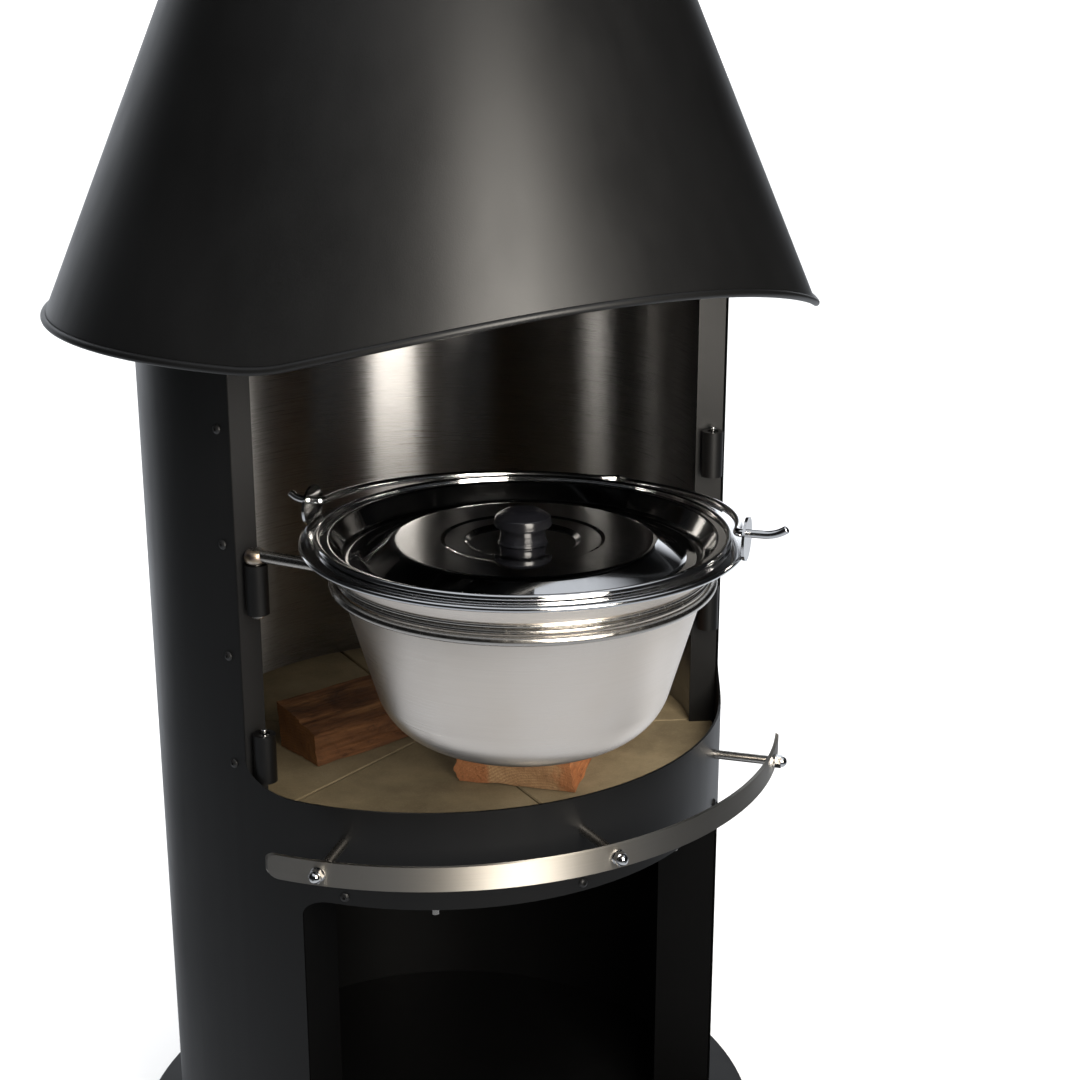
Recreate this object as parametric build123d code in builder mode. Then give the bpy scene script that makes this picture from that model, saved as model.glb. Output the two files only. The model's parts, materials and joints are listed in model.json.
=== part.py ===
"""Garden fireplace (chiminea): a round steel body with a log store below and an open fire
chamber above, a turning conical hood with a chimney, a tool rail across the front, and a
swing arm that carries a lidded cooking pot out of the fire.

Millimetres. +Z is up, the opening faces -Y, the origin is the centre of the base on the floor.
"""
from build123d import *
from math import atan, cos, degrees, radians, sin, sqrt
import os

# ---------------------------------------------------------------- driving dimensions
# Body
BODY_R = 250.0              # outer radius of the body shell
SHEET = 2.0                 # body sheet thickness
BASE_R = 291.0
BASE_T = 6.0
SILL_Z = 433.0              # top edge of the sill, the datum of everything above
BODY_TOP = SILL_Z + 467.0
FIRE_HALF_ANGLE = 64.6      # half of the fire opening, seen from above
FIRE_TOP = SILL_Z + 430.0
FIRE_CORNER = 25.0
STORE_HALF_ANGLE = 53.1     # half of the log store opening
STORE_TOP = SILL_Z - 82.7
STORE_BOTTOM = 46.0
STORE_CORNER = 16.0
STORE_JAMB_DEPTH = 50.0
ANCHOR_PCD = 544.0
ANCHOR_R = 4.5

# Hearth
TILE_TOP = SILL_Z - 35.0
TILE_T = 30.0
TILE_R = 246.5
TILE_GAP = 1.6
TILE_JOINTS = (-90.0, -24.0, 36.0, 90.0, 144.0, 204.0)
FLOOR_T = 4.0
RING_T = 4.0
RING_WIDTH = 34.0
FLOOR_BOLT_ANGLES = (28.0, -28.0, 90.0, -90.0, 152.0, -152.0)
FLOOR_BOLT_R = 239.5
FLOOR_BOLT_TAIL = 18.0      # length of thread showing below the support ring

# Fire chamber lining and its jambs
LINER_R = 228.0
LINER_T = 1.0
JAMB_FLANGE_ANGLE = 6.4     # width of the flange behind the shell
JAMB_LIP = 2.0              # the radial leg reaches past the liner and hides its edge
SCREW_ANGLE = FIRE_HALF_ANGLE + 2.9
SCREW_HEIGHTS = (18.8, 109.6, 200.4, 291.2)
SCREW_HEAD_R = 3.9
SCREW_HEAD_H = 2.2

# Hinge barrels on the jambs
BARREL_ANGLE = 62.2
BARREL_AXIS_R = 238.0
BARREL_R = 9.0
BARREL_LENGTH = 40.0
PIN_R = 5.0
RUNNING_CLEARANCE = 0.06
LEFT_BARRELS = (5.5, 146.0)     # underside above the sill
RIGHT_BARRELS = (59.5, 200.0)

# Tool rail
RAIL_R = 301.7
RAIL_T = 3.0
RAIL_HEIGHT = 20.0
RAIL_Z = SILL_Z - 29.6
RAIL_HALF_ANGLE = 52.5
STANDOFF_ANGLES = (-44.5, 0.0, 44.5)
STANDOFF_R = 4.0
STUD_R = 3.0
NUT_AF = 10.0
BAND_SCREW_Z = SILL_Z - 76.0

# Hood and chimney
HOOD_RIM_R = 319.0
HOOD_RIM_Z = SILL_Z + 356.0
HOOD_SLOPE = 0.4315         # radius lost per unit of height
HOOD_T = 1.5
HOOD_REST_TURN = 4.0
ARCH_RISE = 42.0
ARCH_R = 780.0
ARCH_BLEND = 90.0
HEM_R = 3.0
FLUE_R = 76.0
HOOD_TOP = HOOD_RIM_Z + (HOOD_RIM_R - FLUE_R) / HOOD_SLOPE
PIPE_TOP = 1590.0
CAP_R = 135.0
CAP_GAP = 55.0
CAP_RISE = 42.0

# Pivot of the hood
POST_R = 12.5
PIVOT_R = 8.0
PIVOT_Z = 1246.0
HUB_R = 20.0
SPIDER_T = 5.0
SPIDER_H = 25.0

# Swing arm
ARM_Z = SILL_Z + 193.0
ARM_ROD_R = 5.0
ARM_RING_ANGLE = 145.0      # where the bar meets the ring, about the pot's centre
PIN_FOOT = 142.5
POT_RING_ROD_R = 3.5
POT_RING_R = 139.8
POT_CENTRE = (-55.6, -253.1)

# Pot, lid and bail
POT_SLOPE = 0.2955          # radius gained per unit of height
POT_WALL_R = 135.6          # wall radius at the height of the carrying ring
POT_BOTTOM = SILL_Z + 71.0
POT_RIM = SILL_Z + 222.5
POT_RIM_R = 164.0
POT_RIM_T = 1.5             # the flange that the lid rests on
POT_CORNER = 50.0
POT_T = 1.2
POT_BEADS = ((4.6, 1.9), (9.2, 1.5))    # height above the ring's centre, radius of the bead
BAIL_AXIS_ANGLE = -44.5     # direction of the hinge line of the bail, from +X
BAIL_AXIS_Z = SILL_Z + 238.0
BAIL_R = 157.5
BAIL_WIRE_R = 3.0
BAIL_DROP = 3.9             # the bail lies a little below level, on the rim of the pot
BAIL_KINK = (70.5, 77.5, 84.5)
BAIL_KINK_RISE = 8.0
BAIL_BEND = 5.0             # radius of the bend between the hoop and its two ends
BAIL_LONG_END = (178.0, 26.0, 38.0)     # start of the upward bend, its radius and its angle
BAIL_SHORT_END = (170.5, 18.0, 45.0)
EAR_FACE_R = 164.1
EAR_T = 2.0
EAR_WIDTH = 38.0
EAR_HEIGHT = 31.5
EAR_Z = POT_RIM + 11.5
LID_R = 153.0
LID_BEAD_R = 2.2
LID_T = 1.2
LID_GAP = 0.35              # between the rolled edge of the lid and the rim of the pot
LID_CENTRE = SILL_Z + 218.2     # the recess that the knob stands in
LID_OUTLINE = (             # radius, height above the recess, radius of the corner
    (142.0, 7.35, 2.5), (131.6, -8.9, 8.0), (92.0, 3.8, 40.0),
    (60.5, 3.8, 1.5), (57.5, 2.8, 1.5), (43.0, 2.8, 1.5), (39.0, 0.0, 1.5),
)
KNOB_R = 21.5
KNOB_STEM_R = 17.0
KNOB_H = 26.0
KNOB_SCREW_R = 3.0
KNOB_SCREW_HEAD_R = 6.0

# Firewood: name, front corner, direction of the grain, length, end outline (across, up)
LOGS = (
    ("log_left", (-131.0, -25.0), 11.0, 180.0, ((0, 0), (60, 0), (65, 42), (34, 38), (4, 28))),
    ("log_right", (36.0, -178.0), 47.5, 175.0, ((0, 0), (103, 0), (108, 12), (99, 36), (56, 48), (6, 35))),
)


# ---------------------------------------------------------------- helpers
def heading(angle):
    """Direction of an azimuth counted from the front (-Y), positive towards +X."""
    return Vector(sin(radians(angle)), -cos(radians(angle)), 0)


def at(radius, angle, z=0.0):
    """Point at a radius and an azimuth counted from the front."""
    return Vector(radius * sin(radians(angle)), -radius * cos(radians(angle)), z)


def outward(angle, z, radius=0.0):
    """Plane whose normal points outward at an azimuth, with its Y axis up."""
    normal = heading(angle)
    return Plane(origin=at(radius, angle, z), x_dir=Vector(0, 0, 1).cross(normal), z_dir=normal)


def wedge(radius, half_angle, centre, z0, z1):
    """Sector prism about the Z axis, for cutting arcs out of round parts."""
    steps = 8
    points = [(0.0, 0.0)]
    for i in range(steps + 1):
        p = at(radius, centre - half_angle + 2 * half_angle * i / steps)
        points.append((p.X, p.Y))
    with BuildPart() as sector:
        with BuildSketch(Plane.XY.offset(z0)):
            with BuildLine():
                Polyline(*points, close=True)
            make_face()
        extrude(amount=z1 - z0)
    return sector.part


def opening(half_angle, z0, z1, corner):
    """Block that cuts a window with rounded corners through the front of the shell."""
    width = 2 * BODY_R * sin(radians(half_angle))
    with BuildPart() as window:
        with BuildSketch(Plane.XZ):
            with Locations((0, (z0 + z1) / 2)):
                RectangleRounded(width, z1 - z0, corner)
        extrude(amount=BODY_R * 1.2)
    return window.part


def tube_at(x, y, z0, length, outer, inner):
    with BuildPart() as tube:
        with BuildSketch(Plane.XY.offset(z0)):
            with Locations((x, y)):
                Circle(outer)
                Circle(inner, mode=Mode.SUBTRACT)
        extrude(amount=length)
    return tube.part


def save(part, name):
    part.label = name
    export_step(part, f"parts/{name}.step")


os.makedirs("parts", exist_ok=True)


# ---------------------------------------------------------------- base and shell
def make_base_plate():
    with BuildPart() as base_plate:
        Cylinder(BASE_R, BASE_T, align=(Align.CENTER, Align.CENTER, Align.MIN))
        chamfer(base_plate.edges().group_by(Axis.Z)[-1], 1.0)
        with Locations((0, 0, BASE_T)):
            with PolarLocations(ANCHOR_PCD / 2, 4, start_angle=45):
                Hole(ANCHOR_R)
    save(base_plate.part, "base_plate")


def make_body_shell():
    with BuildPart() as body_shell:
        with BuildSketch(Plane.XY.offset(BASE_T)):
            Circle(BODY_R)
            Circle(BODY_R - SHEET, mode=Mode.SUBTRACT)
        extrude(amount=BODY_TOP - BASE_T)
        add(opening(FIRE_HALF_ANGLE, SILL_Z, FIRE_TOP, FIRE_CORNER), mode=Mode.SUBTRACT)
        add(opening(STORE_HALF_ANGLE, STORE_BOTTOM, STORE_TOP, STORE_CORNER), mode=Mode.SUBTRACT)
        for angle in STANDOFF_ANGLES:
            with BuildSketch(outward(angle, RAIL_Z, BODY_R + 1)):
                Circle(STUD_R + 0.1)
            extrude(amount=-2 * SHEET, mode=Mode.SUBTRACT)
            with BuildSketch(outward(angle, BAND_SCREW_Z, BODY_R + 1)):
                Circle(2.1)
            extrude(amount=-2 * SHEET, mode=Mode.SUBTRACT)
        for side in (-1, 1):
            for height in SCREW_HEIGHTS:
                with BuildSketch(outward(side * SCREW_ANGLE, SILL_Z + height, BODY_R + 1)):
                    Circle(2.1)
                extrude(amount=-2 * SHEET, mode=Mode.SUBTRACT)
    save(body_shell.part, "body_shell")


def make_store_jambs():
    """Flat returns that stiffen the two upright edges of the log store opening."""
    for side, name in ((-1, "store_jamb_left"), (1, "store_jamb_right")):
        with BuildPart() as store_jamb:
            with BuildSketch(outward(side * (STORE_HALF_ANGLE + 0.3), BASE_T, BODY_R - SHEET - 0.1)):
                with Locations((0, (STORE_TOP + 9 - BASE_T) / 2)):
                    Rectangle(SHEET, STORE_TOP + 9 - BASE_T)
            extrude(amount=-STORE_JAMB_DEPTH)
        save(store_jamb.part, name)


# ---------------------------------------------------------------- hearth
def sector_points(start, end):
    """Corners of a sector larger than the hearth, between two angles counted from +X."""
    reach = TILE_R * 1.6
    middle = (start + end) / 2
    return [(reach * cos(radians(a)), reach * sin(radians(a))) for a in (start, middle, end)]


def make_hearth():
    floor_z = TILE_TOP - TILE_T - FLOOR_T
    with BuildPart() as support_ring:
        with BuildSketch(Plane.XY.offset(floor_z - RING_T)):
            Circle(BODY_R - SHEET)
            Circle(BODY_R - SHEET - RING_WIDTH, mode=Mode.SUBTRACT)
            for angle in FLOOR_BOLT_ANGLES:
                with Locations(at(FLOOR_BOLT_R, angle)):
                    Circle(STUD_R + 0.2, mode=Mode.SUBTRACT)
        extrude(amount=RING_T)
    save(support_ring.part, "support_ring")

    with BuildPart() as fire_floor:
        with BuildSketch(Plane.XY.offset(floor_z)):
            Circle(TILE_R)
            for angle in FLOOR_BOLT_ANGLES:
                with Locations(at(FLOOR_BOLT_R, angle)):
                    Circle(STUD_R + 0.2, mode=Mode.SUBTRACT)
        extrude(amount=FLOOR_T)
    save(fire_floor.part, "fire_floor")

    nut_top = floor_z - RING_T
    with BuildPart() as floor_bolts:
        for angle in FLOOR_BOLT_ANGLES:
            spot = at(FLOOR_BOLT_R, angle)
            with BuildSketch(Plane.XY.offset(nut_top)):
                with Locations(spot):
                    RegularPolygon(NUT_AF / 2, 6, major_radius=False)
            extrude(amount=-6.0)
            with BuildSketch(Plane.XY.offset(nut_top - FLOOR_BOLT_TAIL)):
                with Locations(spot):
                    Circle(STUD_R)
            extrude(amount=FLOOR_BOLT_TAIL + RING_T + FLOOR_T)
    save(floor_bolts.part, "floor_bolts")

    joints = [*TILE_JOINTS, TILE_JOINTS[0] + 360]
    for number, (start, end) in enumerate(zip(joints, joints[1:]), 1):
        with BuildPart() as tile:
            with BuildSketch(Plane.XY.offset(TILE_TOP - TILE_T)):
                Circle(TILE_R)
            extrude(amount=TILE_T)
            with BuildSketch(Plane.XY.offset(TILE_TOP - TILE_T)):
                with BuildLine():
                    Polyline((0, 0), *sector_points(start, end), close=True)
                make_face()
                offset(amount=-TILE_GAP / 2, kind=Kind.INTERSECTION)
            extrude(amount=TILE_T, mode=Mode.INTERSECT)
            chamfer(tile.edges().group_by(Axis.Z)[-1], 1.0)
        save(tile.part, f"hearth_tile_{number}")


# ---------------------------------------------------------------- fire chamber
def make_liner():
    with BuildPart() as liner:
        with BuildSketch(Plane.XY.offset(TILE_TOP)):
            Circle(LINER_R)
            Circle(LINER_R - LINER_T, mode=Mode.SUBTRACT)
        extrude(amount=BODY_TOP - TILE_TOP - 3.0)
        add(wedge(BODY_R * 1.3, FIRE_HALF_ANGLE + 0.95, 0, 0, 2 * BODY_TOP), mode=Mode.SUBTRACT)
    save(liner.part, "liner")


def make_jambs():
    """Folded angle along each upright edge: one leg radial, one leg behind the shell."""
    height = FIRE_TOP - TILE_TOP
    inner = BODY_R - SHEET
    for side, name in ((-1, "jamb_left"), (1, "jamb_right")):
        centre = side * (FIRE_HALF_ANGLE + JAMB_FLANGE_ANGLE / 2 + 0.3)
        with BuildPart() as jamb:
            with BuildSketch(Plane.XY.offset(TILE_TOP)):
                Circle(inner)
                Circle(inner - SHEET, mode=Mode.SUBTRACT)
            extrude(amount=height)
            add(wedge(BODY_R * 1.3, JAMB_FLANGE_ANGLE / 2, centre, 0, 2 * BODY_TOP), mode=Mode.INTERSECT)
            with BuildSketch(outward(side * (FIRE_HALF_ANGLE + 0.45), TILE_TOP, inner - 0.3)):
                with Locations((0, height / 2)):
                    Rectangle(SHEET, height)
            extrude(amount=LINER_R - LINER_T - JAMB_LIP - (inner - 0.3))
            for screw_z in SCREW_HEIGHTS:
                with BuildSketch(outward(side * SCREW_ANGLE, SILL_Z + screw_z, inner + 1)):
                    Circle(2.0)
                extrude(amount=-6.0, mode=Mode.SUBTRACT)
        save(jamb.part, name)


def button_screw(angle, z, length):
    """Button head screw driven in from the outside of the shell."""
    with BuildPart() as screw:
        with BuildSketch(Plane.XZ):
            with BuildLine():
                Polyline((0, -length), (1.95, -length), (1.95, 0), (SCREW_HEAD_R, 0), (SCREW_HEAD_R, 0.5))
                Spline((SCREW_HEAD_R, 0.5), (2.9, 1.7), (1.2, SCREW_HEAD_H))
                Polyline((1.2, SCREW_HEAD_H), (1.2, 0.9), (0, 0.9), (0, -length))
            make_face()
        revolve(axis=Axis.Z)
    return outward(angle, z, BODY_R + 0.02).location * screw.part


def make_screws():
    spots = [(side * SCREW_ANGLE, SILL_Z + height) for side in (-1, 1) for height in SCREW_HEIGHTS]
    jamb_screws = [button_screw(angle, z, 7.0) for angle, z in spots]
    save(Compound(children=jamb_screws), "jamb_screws")
    band_screws = [button_screw(angle, BAND_SCREW_Z, 5.0) for angle in STANDOFF_ANGLES]
    save(Compound(children=band_screws), "band_screws")


# ---------------------------------------------------------------- hinge barrels
def barrel_axis(side):
    return at(BARREL_AXIS_R, side * BARREL_ANGLE)


def make_barrels():
    bore = PIN_R + RUNNING_CLEARANCE
    sides = ((-1, LEFT_BARRELS, "left"), (1, RIGHT_BARRELS, "right"))
    for side, heights, word in sides:
        axis = barrel_axis(side)
        for height, level in zip(heights, ("lower", "upper")):
            barrel = tube_at(axis.X, axis.Y, SILL_Z + height, BARREL_LENGTH, BARREL_R, bore)
            save(barrel, f"barrel_{word}_{level}")

    plugs = []
    for side, height in ((-1, LEFT_BARRELS[0]), (1, RIGHT_BARRELS[1])):
        axis = barrel_axis(side)
        top = SILL_Z + height + BARREL_LENGTH
        with BuildPart() as plug:
            with BuildSketch(Plane.XY.offset(top - 12.0)):
                with Locations(axis):
                    Circle(bore)
            extrude(amount=11.0)
            with BuildSketch(Plane.XY.offset(top - 1.0)):
                with Locations(axis):
                    Circle(2.4)
            extrude(amount=5.0)
            fillet(plug.edges().group_by(Axis.Z)[-1], 1.2)
        plugs.append(plug.part)
    save(Compound(children=plugs), "barrel_plugs")


# ---------------------------------------------------------------- tool rail
def make_rail():
    with BuildPart() as rail:
        with BuildSketch(Plane.XY.offset(RAIL_Z - RAIL_HEIGHT / 2)):
            Circle(RAIL_R)
            Circle(RAIL_R - RAIL_T, mode=Mode.SUBTRACT)
        extrude(amount=RAIL_HEIGHT)
        half_chord = RAIL_R * sin(radians(RAIL_HALF_ANGLE))
        with BuildSketch(Plane.XZ):
            with Locations((0, RAIL_Z)):
                RectangleRounded(2 * half_chord, RAIL_HEIGHT - 0.01, 6.0)
        extrude(amount=RAIL_R * 1.2, mode=Mode.INTERSECT)
        for angle in STANDOFF_ANGLES:
            with BuildSketch(outward(angle, RAIL_Z, RAIL_R + 1)):
                Circle(STUD_R + 0.2)
            extrude(amount=-2 * RAIL_T, mode=Mode.SUBTRACT)
    save(rail.part, "tool_rail")

    standoffs = []
    washers = []
    nuts = []
    for angle in STANDOFF_ANGLES:
        inner_face = RAIL_R - RAIL_T - 0.05
        with BuildPart() as standoff:
            with BuildSketch(outward(angle, RAIL_Z, BODY_R)):
                Circle(STANDOFF_R)
            extrude(amount=inner_face - BODY_R)
            with BuildSketch(outward(angle, RAIL_Z, BODY_R - SHEET - 3.0)):
                Circle(STUD_R)
            extrude(amount=RAIL_R + 7.0 - (BODY_R - SHEET - 3.0))
        standoffs.append(standoff.part)
        with BuildPart() as washer:
            with BuildSketch(outward(angle, RAIL_Z, RAIL_R + 0.15)):
                Circle(6.0)
                Circle(STUD_R + 0.2, mode=Mode.SUBTRACT)
            extrude(amount=1.2)
        washers.append(washer.part)
        with BuildPart() as nut:
            with BuildSketch(outward(angle, RAIL_Z, RAIL_R + 1.4)):
                RegularPolygon(NUT_AF / 2, 6, major_radius=False)
            extrude(amount=5.0)
            with Locations(outward(angle, RAIL_Z, RAIL_R + 6.4).location):
                Sphere(4.7)
            with BuildSketch(outward(angle, RAIL_Z, RAIL_R + 1.0)):
                Circle(STUD_R + 0.02)
            extrude(amount=6.1, mode=Mode.SUBTRACT)
        nuts.append(nut.part)
    save(Compound(children=standoffs), "rail_standoffs")
    save(Compound(children=washers), "rail_washers")
    save(Compound(children=nuts), "rail_cap_nuts")


# ---------------------------------------------------------------- hood pivot
def spider(z, reach):
    """Three upright flat bars round a hub at the middle."""
    with BuildPart() as bars:
        with BuildSketch(Plane.XY.offset(z)):
            with PolarLocations(reach / 2, 3, start_angle=90):
                Rectangle(reach, SPIDER_T)
        extrude(amount=SPIDER_H)
        with Locations((0, 0, z)):
            Cylinder(HUB_R, SPIDER_H, align=(Align.CENTER, Align.CENTER, Align.MIN))
    return bars.part


def make_pivot():
    with BuildPart() as top_ring:
        with BuildSketch(Plane.XY.offset(BODY_TOP - 3.0)):
            Circle(BODY_R - SHEET)
            Circle(LINER_R - LINER_T - 3.0, mode=Mode.SUBTRACT)
        extrude(amount=3.0)
    save(top_ring.part, "top_ring")

    with BuildPart() as pivot_spider:
        add(spider(BODY_TOP, BODY_R - 6.0))
        with BuildSketch(Plane.XY.offset(BODY_TOP)):
            Circle(POST_R)
        extrude(amount=SPIDER_H, mode=Mode.SUBTRACT)
    save(pivot_spider.part, "pivot_spider")

    with BuildPart() as pivot_post:
        with BuildSketch(Plane.XY.offset(BODY_TOP)):
            Circle(POST_R)
        extrude(amount=PIVOT_Z - BODY_TOP)
        with BuildSketch(Plane.XY.offset(PIVOT_Z)):
            Circle(PIVOT_R)
        extrude(amount=22.0)
        chamfer(pivot_post.edges().group_by(Axis.Z)[-1], 1.5)
    save(pivot_post.part, "pivot_post")
    save(tube_at(0, 0, PIVOT_Z, 3.0, POST_R, PIVOT_R + 0.02), "thrust_washer")


# ---------------------------------------------------------------- hood and chimney
def hood_radius(z):
    return HOOD_RIM_R - HOOD_SLOPE * (z - HOOD_RIM_Z)


def cone_shell(rim_radius, thickness):
    """Conical sheet from the rim up to the flue."""
    lean = sqrt(1 + HOOD_SLOPE ** 2)
    with BuildPart() as cone:
        with BuildSketch(Plane.XZ):
            with BuildLine():
                Polyline(
                    (rim_radius, HOOD_RIM_Z),
                    (rim_radius - (HOOD_RIM_R - FLUE_R), HOOD_TOP),
                    (rim_radius - (HOOD_RIM_R - FLUE_R) - thickness * lean, HOOD_TOP),
                    (rim_radius - thickness * lean, HOOD_RIM_Z),
                    close=True,
                )
            make_face()
        revolve(axis=Axis.Z)
    return cone.part


def arch_block():
    """Block under the front arch of the hood: a flat circular arc blended into the level rim."""
    half = sqrt(ARCH_R ** 2 - (ARCH_R - ARCH_RISE) ** 2)
    crown = HOOD_RIM_Z + ARCH_RISE
    with BuildPart() as arch:
        with BuildSketch(Plane.XZ):
            with BuildLine():
                ThreePointArc((-half, HOOD_RIM_Z), (0, crown), (half, HOOD_RIM_Z))
                Polyline(
                    (half, HOOD_RIM_Z), (half + 90, HOOD_RIM_Z), (half + 90, HOOD_RIM_Z - 60),
                    (-half - 90, HOOD_RIM_Z - 60), (-half - 90, HOOD_RIM_Z), (-half, HOOD_RIM_Z),
                )
            make_face()
            springing = [v for v in vertices() if abs(abs(v.X) - half) < 1]
            fillet(springing, ARCH_BLEND)
        extrude(amount=HOOD_RIM_R * 1.3)
    return Rot(0, 0, HOOD_REST_TURN) * arch.part


def make_hood():
    arch = arch_block()
    with BuildPart() as hood:
        add(cone_shell(HOOD_RIM_R, HOOD_T))
        add(arch, mode=Mode.SUBTRACT)
    save(hood.part, "hood")

    cone_face = hood.faces().sort_by(SortBy.AREA)[-1]
    low = HOOD_RIM_Z + ARCH_RISE + 5
    rim = [e for e in cone_face.edges() if e.center().Z < low and e.geom_type != GeomType.LINE]
    path = Wire(rim)
    with BuildPart() as hood_hem:
        with BuildSketch(Plane(origin=path @ 0, z_dir=path % 0)):
            Circle(HEM_R)
        sweep(path=path, is_frenet=True)
        add(hood.part, mode=Mode.SUBTRACT)
    save(hood_hem.part, "hood_hem")

    level = PIVOT_Z + 3.3
    reach = hood_radius(level)
    with BuildPart() as hood_spider:
        add(spider(level, reach))
        with BuildSketch(Plane.XY.offset(level)):
            Circle(PIVOT_R + RUNNING_CLEARANCE)
        extrude(amount=SPIDER_H, mode=Mode.SUBTRACT)
        with BuildSketch(Plane.XZ):
            with BuildLine():
                top = level + SPIDER_H
                gap = HOOD_T * sqrt(1 + HOOD_SLOPE ** 2) + 0.02
                Polyline(
                    (0, level), (hood_radius(level) - gap, level), (hood_radius(top) - gap, top), (0, top),
                    close=True,
                )
            make_face()
        revolve(axis=Axis.Z, mode=Mode.INTERSECT)
    save(hood_spider.part, "hood_spider")

    pipe_r = FLUE_R - 1.0
    save(tube_at(0, 0, HOOD_TOP, PIPE_TOP - HOOD_TOP, pipe_r, pipe_r - 1.5), "flue_pipe")
    save(tube_at(0, 0, HOOD_TOP + 0.5, 34.0, pipe_r + 3.0, pipe_r + 0.02), "flue_collar")

    brim = PIPE_TOP + CAP_GAP
    with BuildPart() as rain_cap:
        with BuildSketch(Plane.XZ):
            with BuildLine():
                Polyline((0, brim + CAP_RISE), (CAP_R, brim), (CAP_R, brim - 8), (CAP_R - 1.5, brim - 8),
                         (CAP_R - 1.5, brim - 1.2), (0, brim + CAP_RISE - 1.7), close=True)
            make_face()
        revolve(axis=Axis.Z)
    save(rain_cap.part, "rain_cap")

    strut_top = brim + CAP_RISE * (1 - (pipe_r + 4.0) / CAP_R) - 1.8
    with BuildPart() as cap_struts:
        with BuildSketch(Plane.XY.offset(PIPE_TOP - 40)):
            with PolarLocations(pipe_r + 1.2, 3, start_angle=30):
                Rectangle(2.0, 18.0)
        extrude(amount=strut_top - PIPE_TOP + 40)
        with BuildSketch(Plane.XY.offset(PIPE_TOP - 41)):
            Circle(pipe_r + 0.02)
        extrude(amount=CAP_GAP + CAP_RISE, mode=Mode.SUBTRACT)
    save(cap_struts.part, "cap_struts")


# ---------------------------------------------------------------- swing arm
def make_arm():
    pin_x, pin_y, _ = barrel_axis(-1)
    ring_x, ring_y = POT_CENTRE
    turn = radians(ARM_RING_ANGLE)
    ring_point = Vector(ring_x + POT_RING_R * cos(turn), ring_y + POT_RING_R * sin(turn), ARM_Z)

    with BuildPart() as support:
        with Locations((ring_x, ring_y, ARM_Z - 1.0)):
            Torus(POT_RING_R, POT_RING_ROD_R)
    save(support.part, "carrying_ring")

    with BuildPart() as swing_pin:
        with BuildSketch(Plane.XY.offset(SILL_Z + PIN_FOOT)):
            with Locations((pin_x, pin_y)):
                Circle(PIN_R)
        extrude(amount=ARM_Z + PIN_R - SILL_Z - PIN_FOOT)
        chamfer(swing_pin.edges().group_by(Axis.Z)[0], 0.8)
    save(swing_pin.part, "swing_pin")

    start = Vector(pin_x, pin_y, ARM_Z)
    along = (ring_point - start).normalized()
    with BuildPart() as arm_bar:
        with BuildSketch(Plane(origin=start + along * 2, z_dir=along)):
            Circle(ARM_ROD_R)
        extrude(amount=(ring_point - start).length - 2)
        add(swing_pin.part, mode=Mode.SUBTRACT)
        add(support.part, mode=Mode.SUBTRACT)
    save(arm_bar.part.solids().sort_by(SortBy.VOLUME)[-1], "arm_bar")

    with BuildPart() as arm_weld:
        with BuildSketch(Plane.XZ):
            with BuildLine():
                Polyline((PIN_R, -5.5), (PIN_R + 2.6, -5.5))
                ThreePointArc((PIN_R + 2.6, -5.5), (PIN_R + 4.0, -1.0), (PIN_R, 4.9))
                Line((PIN_R, 4.9), (PIN_R, -5.5))
            make_face()
        revolve(axis=Axis.Z)
    weld = Pos(pin_x, pin_y, ARM_Z) * arm_weld.part - arm_bar.part - swing_pin.part
    save(weld.solids().sort_by(SortBy.VOLUME)[-1], "arm_weld")


# ---------------------------------------------------------------- pot, bail and lid
def wall_radius(z):
    return POT_WALL_R + POT_SLOPE * (z - ARM_Z)


def bowl(inset):
    """Solid of revolution of the pot's body, drawn in by a wall thickness."""
    floor = POT_BOTTOM + inset
    run = inset * sqrt(1 + POT_SLOPE ** 2)
    with BuildPart() as solid:
        with BuildSketch(Plane.XZ):
            with BuildLine():
                Polyline((0, floor), (wall_radius(floor) - run, floor),
                         (wall_radius(POT_RIM) - run, POT_RIM), (0, POT_RIM), close=True)
            make_face()
            corner = vertices().filter_by_position(Axis.X, 20, 500).sort_by(Axis.Y)[0]
            fillet(corner, POT_CORNER - inset)
        revolve(axis=Axis.Z)
    return solid.part


def make_pot():
    x, y = POT_CENTRE
    rim_r = wall_radius(POT_RIM)
    with BuildPart() as pot:
        add(bowl(0))
        for height, size in POT_BEADS:
            with Locations((0, 0, ARM_Z + height)):
                Torus(wall_radius(ARM_Z + height), size)
        with BuildSketch(Plane.XY.offset(POT_RIM)):
            Circle(POT_RIM_R - 2.0)
        extrude(amount=POT_RIM_T)
        with Locations((0, 0, POT_RIM + POT_RIM_T - 2.0)):
            Torus(POT_RIM_R - 2.0, 2.0)
        add(bowl(POT_T), mode=Mode.SUBTRACT)
        with BuildSketch(Plane.XY.offset(POT_RIM - 1)):
            Circle(rim_r - POT_T * 1.1)
        extrude(amount=4, mode=Mode.SUBTRACT)
    save(Pos(x, y, 0) * pot.part, "pot")

    ears = []
    for turn in (0, 180):
        with BuildPart() as ear:
            with BuildSketch(outward(BAIL_AXIS_ANGLE + 90 + turn, EAR_Z, EAR_FACE_R)):
                Ellipse(EAR_WIDTH / 2, EAR_HEIGHT / 2)
                with Locations((0, BAIL_AXIS_Z - EAR_Z)):
                    Circle(BAIL_WIRE_R + RUNNING_CLEARANCE, mode=Mode.SUBTRACT)
            extrude(amount=EAR_T)
        ears.append(Pos(x, y, 0) * ear.part)
    save(Compound(children=ears), "pot_ears")


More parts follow.
